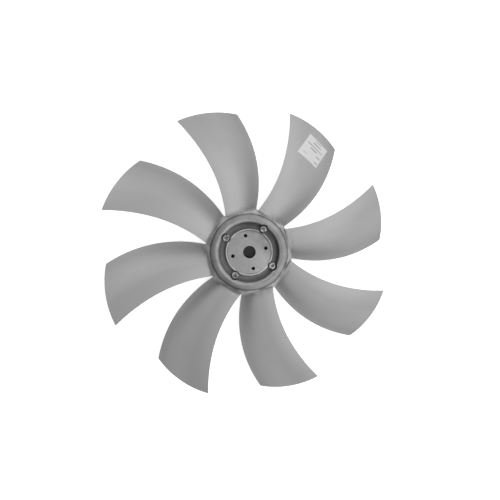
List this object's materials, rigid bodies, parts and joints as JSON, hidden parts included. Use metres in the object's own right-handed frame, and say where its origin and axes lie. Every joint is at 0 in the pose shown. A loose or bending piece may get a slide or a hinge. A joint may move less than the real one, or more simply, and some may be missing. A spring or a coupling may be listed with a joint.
{
  "type": "axial fan impeller",
  "caption": "Axial fan impeller: sickle-shaped, cambered blades cast in one piece round a faceted hub with a raised collar, bolted to a turned shaft boss.",
  "frame": {"origin": "centre of the shaft bore at the boss's front face", "axes": "+Z along the axis of rotation towards the air inlet and away from the motor; +X through the middle of the first blade's root"},
  "size_m": [0.56, 0.56, 0.066],
  "materials": {
    "cast_aluminium": "fine blasted as-cast skin",
    "boss_steel": "turned, fine concentric marks",
    "screw_steel": "bright zinc plated",
    "washer_steel": "zinc plated",
    "label_film": "matt printed film"
  },
  "bodies": {
    "root": {"impeller_casting": "cast_aluminium", "hub_boss": "boss_steel", "clamp_screws": "screw_steel", "spring_washers": "washer_steel", "blade_label": "label_film"}
  },
  "joints": []
}
